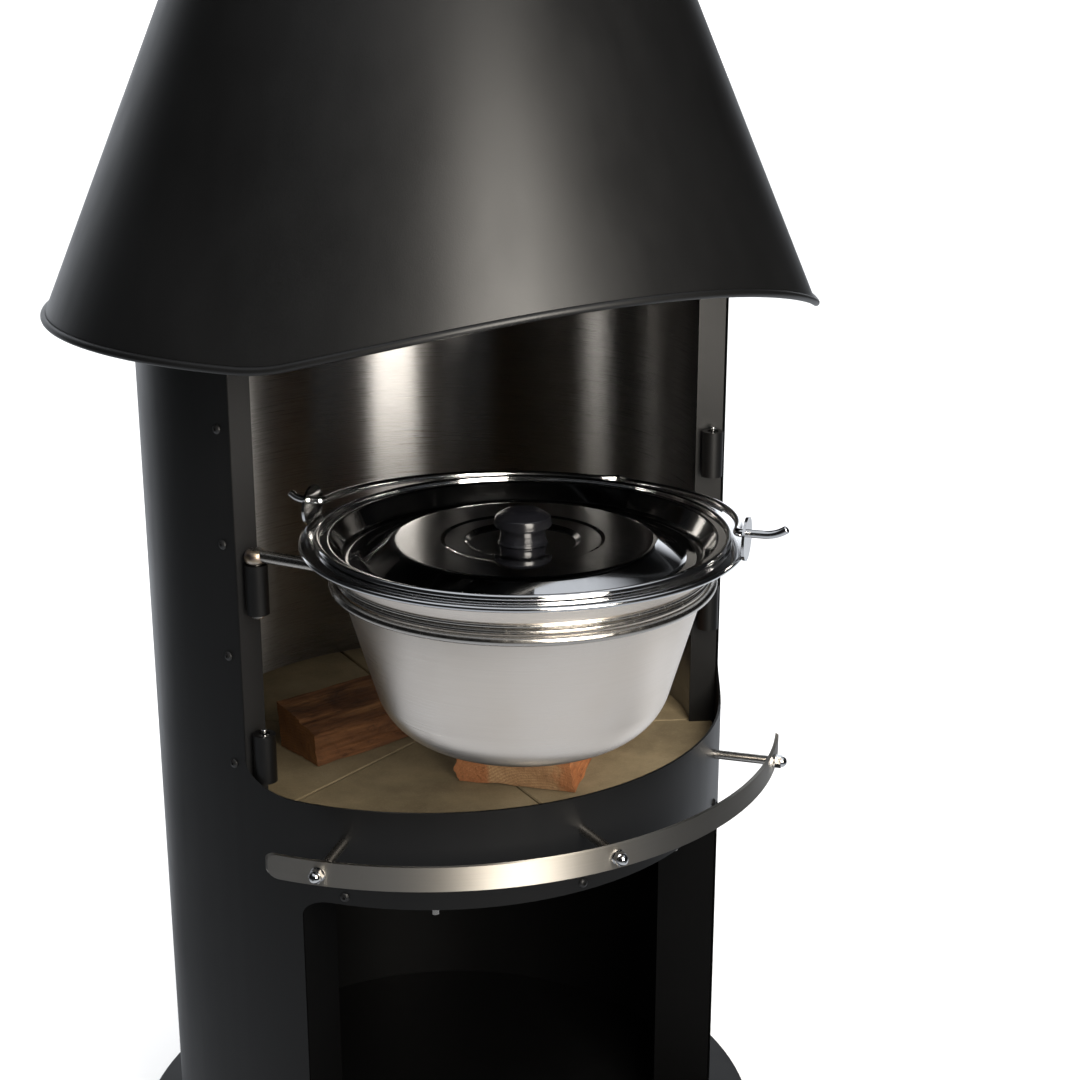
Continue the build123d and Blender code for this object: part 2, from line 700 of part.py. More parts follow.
def make_bail():
    hinge = Location((POT_CENTRE[0], POT_CENTRE[1], BAIL_AXIS_Z), (0, 0, BAIL_AXIS_ANGLE))
    lying = hinge * Location((0, 0, 0), (-BAIL_DROP, 0, 0))
    kink_start, kink_mid, kink_end = BAIL_KINK
    corner = sqrt((BAIL_R + BAIL_BEND) ** 2 - BAIL_BEND ** 2)
    first = degrees(atan(BAIL_BEND / corner))
    lean = radians(45 + first / 2)
    bend_mid = (corner - BAIL_BEND * cos(lean), BAIL_BEND - BAIL_BEND * sin(lean))

    def on_hoop(angle, grow=0.0):
        radius = BAIL_R + grow
        return Vector(radius * cos(radians(angle)), radius * sin(radians(angle)), 0)

    def tangent(angle):
        return Vector(-sin(radians(angle)), cos(radians(angle)), 0)

    def on_end(end, part, side):
        """Point on the upward bend of an end, a part of the way round it."""
        start, radius, angle = end
        turn = radians(angle * part)
        return Vector(side * (start + radius * sin(turn)), 0, radius * (1 - cos(turn)))

    long_tip = on_end(BAIL_LONG_END, 1, 1)
    tip_lean = radians(BAIL_LONG_END[2])
    with BuildPart() as bail:
        with BuildLine():
            ThreePointArc(long_tip, on_end(BAIL_LONG_END, 0.5, 1), on_end(BAIL_LONG_END, 0, 1))
            Line(on_end(BAIL_LONG_END, 0, 1), (corner, 0, 0))
            ThreePointArc((corner, 0, 0), (bend_mid[0], bend_mid[1], 0), on_hoop(first))
            ThreePointArc(on_hoop(first), on_hoop(40), on_hoop(kink_start))
            Spline(on_hoop(kink_start), on_hoop(kink_mid, BAIL_KINK_RISE), on_hoop(kink_end),
                   tangents=(tangent(kink_start), tangent(kink_end)))
            ThreePointArc(on_hoop(kink_end), on_hoop(130), on_hoop(180 - first))
            ThreePointArc(on_hoop(180 - first), (-bend_mid[0], bend_mid[1], 0), (-corner, 0, 0))
            Line((-corner, 0, 0), on_end(BAIL_SHORT_END, 0, -1))
            ThreePointArc(on_end(BAIL_SHORT_END, 0, -1), on_end(BAIL_SHORT_END, 0.5, -1),
                          on_end(BAIL_SHORT_END, 1, -1))
        with BuildSketch(Plane(origin=long_tip, z_dir=(-cos(tip_lean), 0, -sin(tip_lean)))):
            Circle(BAIL_WIRE_R)
        sweep()
        tips = bail.faces().filter_by(GeomType.PLANE).edges()
        fillet(tips, BAIL_WIRE_R / 2)
    save(lying * bail.part, "bail")


def make_lid():
    x, y = POT_CENTRE
    bead_z = POT_RIM + POT_RIM_T + LID_GAP + LID_BEAD_R
    lip_z = LID_CENTRE + LID_OUTLINE[0][1]
    corners = [(LID_R - LID_BEAD_R, lip_z)]
    corners += [(radius, LID_CENTRE + height) for radius, height, _ in LID_OUTLINE]
    corners += [(KNOB_SCREW_R + 0.02, LID_CENTRE)]
    rounding = [corner for _, _, corner in LID_OUTLINE]
    below = [(radius, height - LID_T) for radius, height in corners]
    with BuildPart() as lid:
        with BuildSketch(Plane.XZ):
            with BuildLine():
                FilletPolyline(*corners, radius=rounding)
                FilletPolyline(*below, radius=rounding)
                Line(corners[0], below[0])
                Line(corners[-1], below[-1])
            make_face()
        revolve(axis=Axis.Z)
        with Locations((0, 0, bead_z)):
            Torus(LID_R - LID_BEAD_R, LID_BEAD_R)
    save(Pos(x, y, 0) * lid.part, "lid")

    shoulder = KNOB_R - 3.0
    with BuildPart() as knob:
        with BuildSketch(Plane.XZ):
            with BuildLine():
                Polyline((0, 0.05), (KNOB_STEM_R + 2.0, 0.05), (KNOB_STEM_R + 0.5, 2.5),
                         (KNOB_STEM_R - 0.5, 8.5), (KNOB_STEM_R + 0.5, 12.5), (KNOB_R - 1.5, 13.0))
                ThreePointArc((KNOB_R - 1.5, 13.0), (KNOB_R, 16.0), (shoulder, KNOB_H - 4.0))
                Spline((shoulder, KNOB_H - 4.0), (KNOB_R - 9.0, KNOB_H - 1.0), (0, KNOB_H),
                       tangents=((-0.7, 0.7), (-1, 0)))
                Line((0, KNOB_H), (0, 0.05))
            make_face()
        revolve(axis=Axis.Z)
        with BuildSketch(Plane.XY):
            Circle(KNOB_SCREW_R + 0.02)
        extrude(amount=16.0, mode=Mode.SUBTRACT)
    save(Pos(x, y, LID_CENTRE) * knob.part, "lid_knob")

    head_z = -LID_T - 0.05
    with BuildPart() as screw:
        with BuildSketch(Plane.XY.offset(head_z)):
            Circle(KNOB_SCREW_HEAD_R)
        extrude(amount=-3.0)
        fillet(screw.edges().group_by(Axis.Z)[0], 2.0)
        with BuildSketch(Plane.XY.offset(head_z)):
            Circle(KNOB_SCREW_R)
        extrude(amount=15.0)
    save(Pos(x, y, LID_CENTRE) * screw.part, "knob_screw")


# ---------------------------------------------------------------- firewood
def make_logs():
    for name, origin, along, length, outline in LOGS:
        with BuildPart() as log:
            with BuildSketch(Plane.YZ):
                with BuildLine():
                    Polyline(*outline, close=True)
                make_face()
            extrude(amount=length)
        save(Pos(origin[0], origin[1], TILE_TOP + 0.05) * Rot(0, 0, along) * log.part, name)


make_base_plate()
make_body_shell()
make_store_jambs()
make_hearth()
make_liner()
make_jambs()
make_screws()
make_barrels()
make_rail()
make_pivot()
make_hood()
make_arm()
make_pot()
make_bail()
make_lid()
make_logs()
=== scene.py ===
"""Garden chiminea with a swing arm and a lidded pot: finishes, detailed pieces, light and camera.

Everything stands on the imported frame. Metres; the opening faces -Y.
"""
import json
from math import cos, pi, radians, sin, sqrt, tan

import bmesh
import bpy
from mathutils import Matrix, Vector, noise


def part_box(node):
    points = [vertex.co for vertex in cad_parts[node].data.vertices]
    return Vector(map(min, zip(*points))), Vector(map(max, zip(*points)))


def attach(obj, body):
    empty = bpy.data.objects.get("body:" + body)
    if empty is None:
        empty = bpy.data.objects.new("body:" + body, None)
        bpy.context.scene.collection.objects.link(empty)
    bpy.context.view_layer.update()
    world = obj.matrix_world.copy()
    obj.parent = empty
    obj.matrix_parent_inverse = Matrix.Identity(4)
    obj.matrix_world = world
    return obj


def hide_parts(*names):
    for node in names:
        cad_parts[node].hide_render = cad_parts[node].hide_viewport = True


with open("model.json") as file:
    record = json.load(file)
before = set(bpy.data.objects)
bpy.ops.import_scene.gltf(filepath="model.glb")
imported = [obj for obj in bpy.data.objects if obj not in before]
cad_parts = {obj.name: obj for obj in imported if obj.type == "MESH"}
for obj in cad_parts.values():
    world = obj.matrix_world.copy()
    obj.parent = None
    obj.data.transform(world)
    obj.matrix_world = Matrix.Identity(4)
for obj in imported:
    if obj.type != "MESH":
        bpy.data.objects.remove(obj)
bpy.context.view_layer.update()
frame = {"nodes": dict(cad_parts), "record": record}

MM = 0.001


# ---------------------------------------------------------------- places taken from the frame
def centre_of(node):
    low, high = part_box(node)
    return Vector([(a + b) / 2 for a, b in zip(low, high)])


def size_of(node):
    low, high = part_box(node)
    return Vector([b - a for a, b in zip(low, high)])


TILE_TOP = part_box("hearth_tile_1")[1][2]
SILL_ABOVE_TILES = 35 * MM
SILL = TILE_TOP + SILL_ABOVE_TILES
POT_AXIS = centre_of("lid_knob")
RING_Z = centre_of("carrying_ring").z
POT_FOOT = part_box("pot")[0][2]
RIM_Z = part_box("pot")[1][2]
HOOD_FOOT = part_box("hood")[0][2]
HOOD_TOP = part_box("hood")[1][2]


# ---------------------------------------------------------------- node helpers
class Nodes:
    """A material's node tree with short calls for the nodes used here."""

    def __init__(self, name):
        self.material = bpy.data.materials.new(name)
        self.material.use_nodes = True
        self.tree = self.material.node_tree
        self.shader = self.tree.nodes["Principled BSDF"]

    def add(self, kind, **values):
        node = self.tree.nodes.new(kind)
        for key, value in values.items():
            setattr(node, key, value)
        return node

    def link(self, source, target):
        self.tree.links.new(source, target)

    def feed(self, socket, value):
        if isinstance(value, bpy.types.NodeSocket):
            self.link(value, socket)
        else:
            socket.default_value = value

    def coords(self, shift=(0, 0, 0), scale=(1, 1, 1)):
        """Object coordinates, moved and then scaled."""
        source = self.add("ShaderNodeTexCoord").outputs["Object"]
        move = self.add("ShaderNodeVectorMath", operation="SUBTRACT")
        self.link(source, move.inputs[0])
        move.inputs[1].default_value = shift
        grow = self.add("ShaderNodeVectorMath", operation="MULTIPLY")
        self.link(move.outputs[0], grow.inputs[0])
        grow.inputs[1].default_value = scale
        return grow.outputs[0]

    def round_coords(self, around, across, along):
        """Cylinder coordinates about the Z axis: turn, radius and height, each times its own scale."""
        parts = self.add("ShaderNodeSeparateXYZ")
        self.link(self.coords(), parts.inputs[0])
        turn = self.math("ARCTAN2", parts.outputs[1], parts.outputs[0])
        flat = self.math("ADD", self.math("MULTIPLY", parts.outputs[0], parts.outputs[0]),
                         self.math("MULTIPLY", parts.outputs[1], parts.outputs[1]))
        radius = self.math("SQRT", flat)
        joined = self.add("ShaderNodeCombineXYZ")
        self.link(self.math("MULTIPLY", turn, around), joined.inputs[0])
        self.link(self.math("MULTIPLY", radius, across), joined.inputs[1])
        self.link(self.math("MULTIPLY", parts.outputs[2], along), joined.inputs[2])
        return joined.outputs[0]

    def math(self, operation, a, b=0.0):
        node = self.add("ShaderNodeMath", operation=operation)
        self.feed(node.inputs[0], a)
        self.feed(node.inputs[1], b)
        return node.outputs[0]

    def noise(self, vector, scale, detail=3.0, rough=0.55, twist=0.0):
        node = self.add("ShaderNodeTexNoise")
        self.link(vector, node.inputs["Vector"])
        settings = {"Scale": scale, "Detail": detail, "Roughness": rough, "Distortion": twist}
        for key, value in settings.items():
            node.inputs[key].default_value = value
        return node.outputs["Fac"]

    def cells(self, vector, scale):
        """Distance to the nearest of many scattered points."""
        node = self.add("ShaderNodeTexVoronoi", feature="F1")
        self.link(vector, node.inputs["Vector"])
        node.inputs["Scale"].default_value = scale
        return node.outputs["Distance"]

    def spread(self, value, low, high, to_low=0.0, to_high=1.0):
        """Maps low..high onto to_low..to_high, held at both ends."""
        node = self.add("ShaderNodeMapRange", clamp=True)
        self.feed(node.inputs["Value"], value)
        settings = {"From Min": low, "From Max": high, "To Min": to_low, "To Max": to_high}
        for key, number in settings.items():
            node.inputs[key].default_value = number
        return node.outputs["Result"]

    def ramp(self, value, *stops):
        node = self.add("ShaderNodeValToRGB")
        self.link(value, node.inputs["Fac"])
        ramp = node.color_ramp
        while len(ramp.elements) < len(stops):
            ramp.elements.new(0.5)
        for element, (place, colour) in zip(ramp.elements, stops):
            element.position = place
            element.color = (*colour, 1)
        return node.outputs["Color"]

    def mix(self, factor, a, b, blend="MIX"):
        node = self.add("ShaderNodeMix", data_type="RGBA", blend_type=blend)
        self.feed(node.inputs[0], factor)
        for socket, value in ((node.inputs[6], a), (node.inputs[7], b)):
            self.feed(socket, (*value, 1) if isinstance(value, tuple) else value)
        return node.outputs[2]

    def bump(self, height, distance, strength=1.0, under=None):
        node = self.add("ShaderNodeBump")
        self.link(height, node.inputs["Height"])
        node.inputs["Distance"].default_value = distance
        node.inputs["Strength"].default_value = strength
        if under is not None:
            self.link(under, node.inputs["Normal"])
        return node.outputs["Normal"]

    def finish(self, colour, roughness, normal=None, **constants):
        """Feeds the shader; the other constants are named after its sockets, with _ for a space."""
        self.feed(self.shader.inputs["Base Color"], colour)
        self.feed(self.shader.inputs["Roughness"], roughness)
        if normal is not None:
            self.link(normal, self.shader.inputs["Normal"])
        for key, value in constants.items():
            self.shader.inputs[key.replace("_", " ")].default_value = value
        return self.material


# ---------------------------------------------------------------- materials
def scaled(colour, factor):
    return tuple(c * factor for c in colour)


def satin_paint(name, shade, gloss, sheen=0.45):
    """Heat-proof black paint of a grey shade, a roughness and a specular level, with faint dust and marks."""
    n = Nodes(name)
    place = n.coords()
    cloud = n.noise(place, 5.0, 4)
    speck = n.noise(place, 900.0, 2)
    streak = n.noise(n.coords(scale=(40, 40, 2.0)), 1.0, 3)
    dark, dusty = (shade * 0.75,) * 3, (shade * 1.25, shade * 1.25, shade * 1.3)
    colour = n.ramp(n.mix(0.5, cloud, speck), (0.3, dark), (0.7, dusty))
    rough = n.math("ADD", n.spread(cloud, 0.3, 0.7, gloss - 0.04, gloss + 0.05),
                   n.spread(streak, 0.3, 0.7, -0.02, 0.02))
    return n.finish(colour, rough, n.bump(speck, 0.04 * MM), Specular_IOR_Level=sheen)


def brushed(name, vector_call, tone, gloss, line=0.012 * MM, aniso=0.0, painted_reflection_height=0.0):
    """Stainless steel with fine brush lines, line deep, that follow the given coordinates.

    gloss is the mean roughness. Below the height given for the dark foot, the metal is darkened: a painted
    dark reflection of the dark surroundings below it.
    """
    n = Nodes(name)
    if aniso:
        tangent = n.add("ShaderNodeTangent", direction_type="RADIAL", axis="Z")
        n.link(tangent.outputs[0], n.shader.inputs["Tangent"])
    lines = n.noise(vector_call(n), 1.0, 3, 0.6)
    place = n.coords()
    cloud = n.noise(place, 9.0, 3)
    warm = tuple(c * s for c, s in zip(tone, (0.93, 0.91, 0.88)))
    tint = n.mix(n.spread(cloud, 0.35, 0.65), tone, warm)
    shade = n.mix(n.spread(lines, 0.25, 0.75, 0.0, 0.35), tint, scaled(tone, 0.72))
    # Painted reflection: below the given height the metal is blended towards near-black (0.035, 0.03, 0.028),
    # standing in for the dark surroundings reflected in the pot's lower curve.
    if painted_reflection_height:
        parts = n.add("ShaderNodeSeparateXYZ")
        n.link(place, parts.inputs[0])
        shade = n.mix(n.spread(parts.outputs[2], painted_reflection_height * 0.55, painted_reflection_height, 0.85, 0.0), shade, (0.035, 0.03, 0.028))
    rough = n.math("ADD", n.spread(lines, 0.3, 0.7, gloss - 0.05, gloss + 0.07),
                   n.spread(cloud, 0.3, 0.7, -0.02, 0.03))
    return n.finish(shade, rough, n.bump(lines, line), Metallic=1.0, Anisotropic=aniso,
                    Anisotropic_Rotation=0.25)


def polished(name, gloss):
    """Mirror-bright stainless steel with smears and hair scratches."""
    n = Nodes(name)
    smear = n.noise(n.coords(), 22.0, 4, 0.6, 1.5)
    scratch = n.noise(n.coords(scale=(900, 60, 300)), 1.0, 2)
    rough = n.math("ADD", n.spread(smear, 0.4, 0.75, gloss, gloss + 0.05),
                   n.spread(scratch, 0.55, 0.8, 0.0, 0.04))
    tone = n.mix(n.spread(smear, 0.4, 0.8, 0.0, 0.3), (0.74, 0.74, 0.745), (0.66, 0.655, 0.64))
    return n.finish(tone, rough, n.bump(scratch, 0.003 * MM), Metallic=1.0)


def heat_tint():
    """Weld in stainless steel: straw, brown and blue bands over ripples."""
    n = Nodes("weld_tint")
    place = n.coords()
    ripple = n.noise(place, 260.0, 2)
    band = n.noise(n.coords(scale=(1, 1, 2.4)), 70.0, 2)
    colour = n.ramp(band, (0.3, (0.60, 0.56, 0.50)), (0.48, (0.52, 0.42, 0.30)), (0.6, (0.34, 0.28, 0.27)),
                    (0.72, (0.25, 0.27, 0.33)))
    return n.finish(colour, n.spread(ripple, 0.3, 0.7, 0.3, 0.5), n.bump(ripple, 0.3 * MM), Metallic=1.0)


def firebrick():
    """Fireclay: sandy olive body, darker grains, soot towards the middle and pale rubbed patches."""
    n = Nodes("fireclay")
    place = n.coords()
    cloud = n.noise(place, 11.0, 5, 0.6)
    stain = n.noise(n.coords(shift=(0.3, 0.1, 0)), 5.0, 4, 0.65, 0.8)
    sand = n.noise(place, 420.0, 4, 0.7)
    grain = n.cells(place, 330.0)
    base = n.ramp(cloud, (0.25, (0.120, 0.090, 0.048)), (0.5, (0.215, 0.165, 0.092)),
                  (0.75, (0.31, 0.245, 0.145)))
    base = n.mix(n.spread(stain, 0.5, 0.72, 0.0, 0.6), base, (0.07, 0.052, 0.03))
    base = n.mix(n.spread(grain, 0.0, 0.22, 0.45, 0.0), base, (0.08, 0.065, 0.04))
    base = n.mix(n.spread(sand, 0.5, 0.8, 0.0, 0.35), base, (0.37, 0.30, 0.19))
    relief = n.bump(sand, 0.6 * MM, 0.7)
    relief = n.bump(cloud, 1.5 * MM, 0.5, relief)
    return n.finish(base, n.spread(sand, 0.3, 0.7, 0.72, 0.95), relief, Specular_IOR_Level=0.3)


def split_wood(name, light, dark, pale):
    """Split firewood; the grain runs along the piece's own X axis."""
    n = Nodes(name)
    fibre = n.noise(n.coords(scale=(14, 260, 260)), 1.0, 5, 0.65, 0.3)
    band = n.noise(n.coords(scale=(6, 45, 45)), 1.0, 4, 0.6, 0.6)
    speck = n.noise(n.coords(scale=(60, 160, 160)), 1.0, 3, 0.7)
    tone = n.ramp(band, (0.28, dark), (0.5, light), (0.72, pale))
    tone = n.mix(n.spread(fibre, 0.35, 0.7, 0.0, 0.55), tone, scaled(dark, 0.42))
    tone = n.mix(n.spread(speck, 0.6, 0.78, 0.0, 0.8), tone, scaled(dark, 0.3))
    blotch = n.noise(n.coords(scale=(12, 30, 30)), 1.0, 5, 0.7, 0.8)
    tone = n.mix(n.spread(blotch, 0.48, 0.66, 0.0, 0.75), tone, scaled(dark, 0.4))
    relief = n.bump(fibre, 3 * MM, 0.9)
    relief = n.bump(blotch, 5 * MM, 0.6, relief)
    return n.finish(tone, n.spread(fibre, 0.3, 0.7, 0.62, 0.9), relief, Specular_IOR_Level=0.35)


def end_grain(name, light, dark, heart=None):
    """Sawn end: rings round a pith outside the split piece, flecks, dark blots, and a redder heart if any."""
    n = Nodes(name)
    pith = (0, 30 * MM, -50 * MM)
    around = n.add("ShaderNodeVectorMath", operation="LENGTH")
    n.link(n.coords(shift=pith, scale=(0, 1, 1)), around.inputs[0])
    wobble = n.noise(n.coords(), 22.0, 3)
    rings = n.math("SINE", n.math("ADD", n.math("MULTIPLY", around.outputs["Value"], 2400.0),
                                  n.math("MULTIPLY", wobble, 26.0)))
    fleck = n.noise(n.coords(), 320.0, 4, 0.7)
    blot = n.noise(n.coords(), 30.0, 4, 0.6)
    tone = n.mix(n.spread(rings, -1, 1, 0.15, 0.6), light, dark)
    tone = n.mix(n.spread(blot, 0.42, 0.68, 0.0, 0.75), tone, dark)
    if heart:
        pale_middle = 44 * MM
        across = n.add("ShaderNodeSeparateXYZ")
        n.link(n.coords(shift=(0, pale_middle, 0)), across.inputs[0])
        off = n.math("ADD", n.math("ABSOLUTE", across.outputs[1]), n.math("MULTIPLY", blot, 40 * MM))
        tone = n.mix(n.spread(off, 46 * MM, 53 * MM, 0.0, 0.7), tone, heart)
    tone = n.mix(n.spread(fleck, 0.55, 0.75, 0.0, 0.7), tone, scaled(dark, 0.35))
    relief = n.bump(blot, 4 * MM, 0.8, n.bump(fleck, 1.5 * MM, 0.9))
    return n.finish(tone, 0.82, relief, Specular_IOR_Level=0.3)


def black_plastic():
    """Moulded black plastic with a little dust."""
    n = Nodes("knob_black")
    place = n.coords()
    fine = n.noise(place, 700.0, 2)
    dust = n.noise(place, 60.0, 4, 0.65)
    colour = n.mix(n.spread(dust, 0.55, 0.8, 0.0, 0.4), (0.004, 0.004, 0.005), (0.014, 0.014, 0.014))
    return n.finish(colour, n.spread(dust, 0.35, 0.7, 0.17, 0.27), n.bump(fine, 0.02 * MM),
                    Specular_IOR_Level=0.45)


def bronze():
    """Turned bronze with the tool's rings."""
    n = Nodes("bush_bronze")
    lines = n.noise(n.round_coords(30, 4000, 4000), 1.0, 3)
    tone = n.mix(lines, (0.50, 0.33, 0.14), (0.62, 0.44, 0.22))
    return n.finish(tone, n.spread(lines, 0.3, 0.7, 0.25, 0.4), n.bump(lines, 0.02 * MM), Metallic=1.0)


def pale_floor():
    n = Nodes("studio_floor")
    return n.finish(n.mix(n.noise(n.coords(), 2.0, 2), (0.80, 0.80, 0.80), (0.82, 0.82, 0.82)), 0.9)


PAINT = satin_paint("black_heat_paint", shade=0.0022, gloss=0.42, sheen=0.38)
PAINT_HOOD = satin_paint("black_hood_paint", shade=0.0026, gloss=0.415)
# Painted shade: the log store's jambs get a darker, duller copy of the black paint, standing in for the shade
# inside the store.
PAINT_STORE_SHADED = satin_paint("black_store_paint_painted_shade", shade=0.0012, gloss=0.6, sheen=0.12)
# Painted light: the left jamb gets a lighter copy of the black paint, standing in for the light falling on
# its face.
PAINT_JAMB_LIT = satin_paint("black_jamb_paint_painted_light", shade=0.010, gloss=0.50)
SCREW_BLACK = satin_paint("black_screw_finish", shade=0.006, gloss=0.36)
ROUND_BRUSH = brushed("stainless_liner", lambda n: n.round_coords(3, 40, 5200),
                      tone=(0.38, 0.38, 0.385), gloss=0.28, aniso=1.0)
RAIL_BRUSH = brushed("stainless_rail", lambda n: n.round_coords(2.2, 600, 7000),
                     tone=(0.53, 0.505, 0.465), gloss=0.52, aniso=0.95)
ROD_BRUSH = brushed("stainless_rod", lambda n: n.coords(scale=(260, 260, 2600)),
                    tone=(0.58, 0.56, 0.53), gloss=0.24, line=0.003 * MM)
RING_BRUSH = brushed("stainless_ring", lambda n: n.coords(scale=(220, 220, 220)),
                     tone=(0.58, 0.56, 0.53), gloss=0.20, line=0.003 * MM)
# The pot's lowest 11 mm get the painted dark reflection.
POT_BRUSH = brushed("stainless_pot", lambda n: n.round_coords(1.6, 2400, 6500),
                    tone=(0.92, 0.85, 0.775), gloss=0.31, aniso=0.3, painted_reflection_height=11 * MM)
MIRROR = polished("stainless_polished", gloss=0.045)
BRIGHT = polished("stainless_bright", gloss=0.10)
WELD = heat_tint()
CLAY = firebrick()
KNOB = black_plastic()
BUSH = bronze()
WOOD_LEFT = split_wood("split_wood_brown", light=(0.165, 0.066, 0.022), dark=(0.060, 0.023, 0.009),
                       pale=(0.27, 0.125, 0.046))
WOOD_RIGHT = split_wood("split_wood_orange", light=(0.48, 0.17, 0.055), dark=(0.25, 0.085, 0.03),
                        pale=(0.55, 0.31, 0.15))
END_LEFT = end_grain("end_grain_brown", light=(0.22, 0.096, 0.030), dark=(0.09, 0.036, 0.012))
END_RIGHT = end_grain("end_grain_pale", light=(0.40, 0.25, 0.125), dark=(0.19, 0.095, 0.042),
                      heart=(0.27, 0.085, 0.026))

BY_SLOT = {
    "paint": PAINT, "stainless": ROD_BRUSH, "polished": BRIGHT, "pot_steel": POT_BRUSH, "weld": WELD,
    "black_screw": SCREW_BLACK, "knob": KNOB, "bronze": BUSH, "firebrick": CLAY, "firewood": WOOD_LEFT,
}
BY_NODE = {
    "liner": ROUND_BRUSH, "tool_rail": RAIL_BRUSH, "hood": PAINT_HOOD, "bail": BRIGHT, "pot_ears": BRIGHT,
    "jamb_left": PAINT_JAMB_LIT, "carrying_ring": RING_BRUSH, "store_jamb_left": PAINT_STORE_SHADED,
    "store_jamb_right": PAINT_STORE_SHADED,
}


def dress(target, material):
    target.data.materials.clear()
    target.data.materials.append(material)


for part in frame["record"]["subparts"]:
    dress(frame["nodes"][part["node"]], BY_NODE.get(part["node"], BY_SLOT[part["material_slot"]]))


# ---------------------------------------------------------------- geometry helpers
NO_RADIUS = 1e-7


def new_object(name, mesh, material, body, replaced=(), location=None, turn=None):
    """Puts a mesh or curve in the scene, on its CAD body, in place of the CAD nodes it stands for."""
    target = bpy.data.objects.new(name, mesh)
    bpy.context.scene.collection.objects.link(target)
    if location is not None:
        target.location = location
    if turn is not None:
        target.rotation_euler = turn
    mesh.materials.append(material)
    bpy.context.view_layer.update()
    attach(target, body)
    if replaced:
        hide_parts(*replaced)
    return target


def rounded(points, steps):
    """An open polyline of (x, y, radius) corners; each corner with a radius becomes an arc."""
    result = []
    for i, (x, y, radius) in enumerate(points):
        if radius == 0:
            result.append((x, y))
            continue
        here = Vector((x, y))
        before = (Vector(points[i - 1][:2]) - here).normalized()
        after = (Vector(points[i + 1][:2]) - here).normalized()
        half = before.angle(after) / 2
        reach = radius / tan(half)
        start, end = here + before * reach, here + after * reach
        middle = here + (before + after).normalized() * (radius / sin(half))
        a, b = start - middle, end - middle
        sweep = a.angle_signed(b)
        result += [tuple(middle + Matrix.Rotation(-sweep * k / steps, 2) @ a) for k in range(steps + 1)]
    return result


def arc(cx, cz, radius, start, end, steps):
    """Points on a circle about (cx, cz), between two angles in degrees."""
    angles = [radians(start + (end - start) * k / steps) for k in range(steps + 1)]
    return [(cx + radius * cos(angle), cz + radius * sin(angle)) for angle in angles]


def mesh_from(bm, name):
    """Turns the finished bmesh into a smooth-shaded mesh."""
    bmesh.ops.recalc_face_normals(bm, faces=bm.faces)
    for face in bm.faces:
        face.smooth = True
    mesh = bpy.data.meshes.new(name)
    bm.to_mesh(mesh)
    bm.free()
    return mesh


def lathe(name, profile, segments=256, closed=True):
    """Mesh turned about the Z axis from (radius, height) points; points on the axis become one vertex."""
    bm = bmesh.new()
    rings = []
    turns = [2 * pi * k / segments for k in range(segments)]
    for r, z in profile:
        if r < NO_RADIUS:
            rings.append([bm.verts.new((0, 0, z))])
        else:
            rings.append([bm.verts.new((r * cos(turn), r * sin(turn), z)) for turn in turns])
    pairs = list(zip(rings, rings[1:] + rings[:1])) if closed else list(zip(rings, rings[1:]))
    for a, b in pairs:
        if len(a) == 1 and len(b) == 1:
            continue
        for k in range(segments):
            m = (k + 1) % segments
            corners = [a[k % len(a)], a[m % len(a)], b[m % len(b)], b[k % len(b)]]
            bm.faces.new(list(dict.fromkeys(corners)))
    return mesh_from(bm, name)


def crease(target, angle):
    """Shades smooth, with edges sharper than the angle left crisp."""
    for polygon in target.data.polygons:
        polygon.use_smooth = True
    target.data.set_sharp_from_angle(angle=radians(angle))


def rod_ring(name, points, radius, material, body, replaced):
    """Round rod along a closed line of points."""
    curve = bpy.data.curves.new(name, "CURVE")
    curve.dimensions = "3D"
    curve.bevel_depth = radius
    curve.bevel_resolution = 6
    line = curve.splines.new("POLY")
    line.points.add(len(points) - 1)
    for point, place in zip(line.points, points):
        point.co = (*place, 1)
    line.use_cyclic_u = True
    line.use_smooth = True
    return new_object(name, curve, material, body, replaced)


# ---------------------------------------------------------------- hood
HOOD_T = 1.5 * MM
HEM_R = 3.0 * MM
RIM_R = size_of("hood").x / 2
FLUE_R = 76 * MM
HOOD_SLOPE = (RIM_R - FLUE_R) / (HOOD_TOP - HOOD_FOOT)
HOOD_TURN = radians(4)
ARCH_RISE = 42 * MM
ARCH_R = 780 * MM
ARCH_BLEND = 90 * MM
HOOD_COLUMNS, HOOD_ROWS, HEM_POINTS = 360, 48, 480
ROW_CROWDING = 1.3


def arch_height(x):
    """Height of the hood's front edge above its rim, at a distance x off its middle."""
    centre = ARCH_RISE - ARCH_R
    blend_x = sqrt((ARCH_R + ARCH_BLEND) ** 2 - (ARCH_BLEND - centre) ** 2)
    meet_x = blend_x * ARCH_R / (ARCH_R + ARCH_BLEND)
    if abs(x) < meet_x:
        return centre + sqrt(ARCH_R ** 2 - x * x)
    if abs(x) < blend_x:
        return ARCH_BLEND - sqrt(ARCH_BLEND ** 2 - (blend_x - abs(x)) ** 2)
    return 0.0


def hood_edge(turn):
    """Point of the hood's lower edge at an angle from its own front."""
    rise = 0.0
    if cos(turn) > 0:
        for _ in range(12):  # the rise narrows the cone, which moves the point along the arch
            rise = arch_height((RIM_R - HOOD_SLOPE * rise) * sin(turn))
    radius = RIM_R - HOOD_SLOPE * rise
    facing = turn + HOOD_TURN
    return Vector((radius * sin(facing), -radius * cos(facing), HOOD_FOOT + rise))


